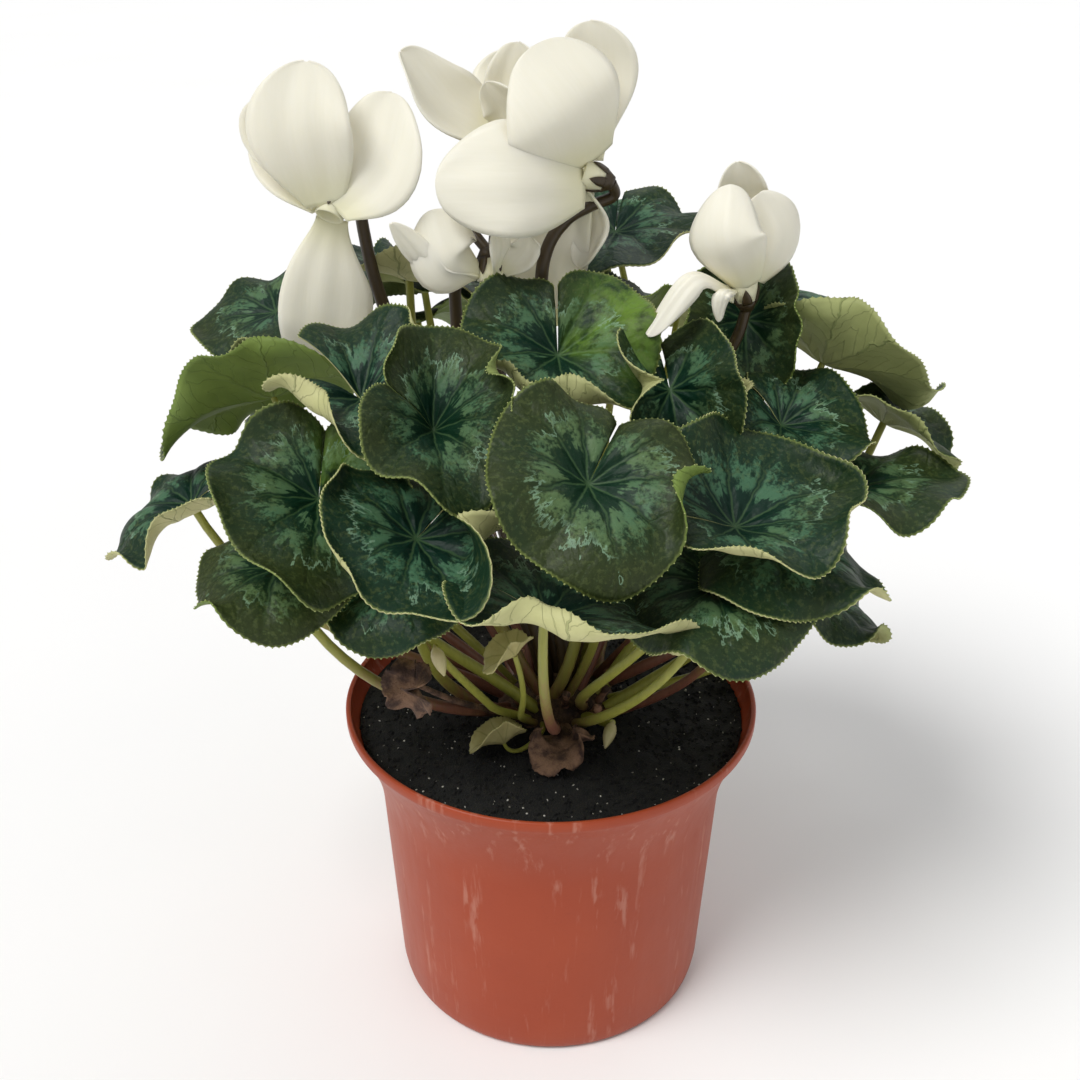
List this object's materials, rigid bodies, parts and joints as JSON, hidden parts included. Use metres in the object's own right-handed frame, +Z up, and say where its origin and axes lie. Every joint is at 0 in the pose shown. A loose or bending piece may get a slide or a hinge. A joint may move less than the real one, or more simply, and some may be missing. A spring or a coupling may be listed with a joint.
{
  "type": "potted cyclamen",
  "caption": "Cyclamen plant with reflexed white flowers above heart-shaped marbled leaves, growing from a tuber in a plain flared plastic nursery pot.",
  "frame": {"origin": "centre of the pad under the pot's base, on the surface the pot stands on", "axes": "+Z up along the axis of the pot, -Y towards the front of the plant, +X to its right"},
  "size_m": [0.268, 0.233, 0.3271],
  "materials": {
    "moulded_plastic": "satin terracotta-coloured moulded plastic with fine scuffs",
    "potting_mix": null,
    "tuber_skin": "rough corky brown skin",
    "leaf_tissue": null,
    "young_tissue": "soft pale green young leaf",
    "withered_tissue": "dry shrivelled brown leaf",
    "petal_tissue": null,
    "stem_tissue": "smooth dark red-brown fleshy stem"
  },
  "bodies": {
    "root": {"pot": "moulded_plastic", "potting_mix": "potting_mix", "tuber": "tuber_skin", "bud_back": "stem_tissue", "bud_crown": "stem_tissue", "bud_left": "stem_tissue", "flower_back": "petal_tissue", "flower_back_stem": "stem_tissue", "flower_left": "petal_tissue", "flower_left_stem": "stem_tissue", "flower_low": "petal_tissue", "flower_low_stem": "stem_tissue", "flower_middle": "petal_tissue", "flower_middle_stem": "stem_tissue", "flower_right": "petal_tissue", "flower_right_stem": "stem_tissue", "leaf_back_high": "leaf_tissue", "leaf_back_left": "leaf_tissue", "leaf_back_left_high": "leaf_tissue", "leaf_back_left_low": "leaf_tissue", "leaf_back_middle": "leaf_tissue", "leaf_back_right": "leaf_tissue", "leaf_back_right_low": "leaf_tissue", "leaf_back_shaded": "leaf_tissue", "leaf_back_tall": "leaf_tissue", "leaf_back_top": "leaf_tissue", "leaf_centre_heart": "leaf_tissue", "leaf_left_dark_cup": "leaf_tissue", "leaf_left_front": "leaf_tissue", "leaf_left_grey": "leaf_tissue", "leaf_left_long": "leaf_tissue", "leaf_left_low_tip": "leaf_tissue", "leaf_left_shaded": "leaf_tissue", "leaf_left_tall_cup": "leaf_tissue", "leaf_left_under": "leaf_tissue", "leaf_low_front": "leaf_tissue", "leaf_low_shaded": "leaf_tissue", "leaf_right_back": "leaf_tissue", "leaf_right_bright": "leaf_tissue", "leaf_right_cup": "leaf_tissue", "leaf_right_folded": "leaf_tissue", "leaf_right_hanging": "leaf_tissue", "leaf_right_long_tip": "leaf_tissue", "leaf_right_low": "leaf_tissue", "leaf_right_pointed": "leaf_tissue", "leaf_right_shaded": "leaf_tissue", "leaf_right_under": "leaf_tissue", "leaf_silver_right": "leaf_tissue", "leaf_teal_front": "leaf_tissue", "leaf_top_front": "leaf_tissue", "leaf_top_left": "leaf_tissue", "leaf_top_right": "leaf_tissue", "withered_leaf_crown": "withered_tissue", "withered_leaf_hanging": "withered_tissue", "young_leaf_folded": "young_tissue", "young_leaf_low": "young_tissue"}
  },
  "joints": []
}
